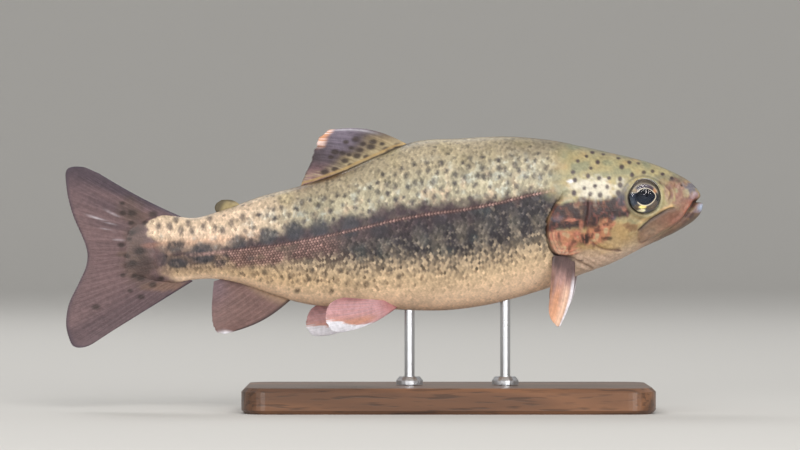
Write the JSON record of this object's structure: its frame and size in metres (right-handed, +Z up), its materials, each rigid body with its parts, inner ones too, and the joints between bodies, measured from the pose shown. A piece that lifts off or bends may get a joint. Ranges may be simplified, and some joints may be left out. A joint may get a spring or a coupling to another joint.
{
  "type": "rainbow trout display model",
  "caption": "Life-size still model of a young rainbow trout, swimming, held by rods above a flat wooden base.",
  "frame": {"origin": "on the underside of the stand base, below the middle of the fish's length", "axes": "+X towards the head, +Z up, the fish's right flank faces -Y"},
  "size_m": [0.2001, 0.062, 0.0885],
  "materials": {
    "skin": "wet scaled skin: olive back, cream upper flank, dark red-brown band along the lateral line, tan-gold belly, small dark spots",
    "eye": "high gloss, dark pupil in a silver-gold ring",
    "dorsal_fin": "thin rayed membrane, grey-mauve with dark spots and an orange tip",
    "adipose_fin": "soft fleshy lobe, olive-yellow with a dark rim",
    "anal_fin": "thin rayed membrane, brown-pink with a dark leading ray and a white tip",
    "tail_fin": "thin rayed membrane, mauve-pink with dark edges and spots near its root",
    "pelvic_fin": "thin rayed membrane, pink with a white edge",
    "pectoral_fin": "thin rayed membrane, orange-pink with a pale leading ray",
    "stand_wood": "satin oiled walnut",
    "stand_steel": "fine brushed steel"
  },
  "bodies": {
    "root": {"head": "skin", "lower_jaw": "skin", "upper_jaw_right": "skin", "upper_jaw_left": "skin", "gill_cover_right": "skin", "gill_cover_left": "skin", "trunk": "skin", "tail_stalk": "skin", "eye_right": "eye", "eye_left": "eye", "dorsal_fin": "dorsal_fin", "adipose_fin": "adipose_fin", "anal_fin": "anal_fin", "tail_fin": "tail_fin", "pelvic_fin_right": "pelvic_fin", "pelvic_fin_left": "pelvic_fin", "pectoral_fin_right": "pectoral_fin", "pectoral_fin_left": "pectoral_fin", "stand_base": "stand_wood", "stand_rod_rear": "stand_steel", "stand_rod_front": "stand_steel", "stand_collar_rear": "stand_steel", "stand_collar_front": "stand_steel"}
  },
  "joints": []
}
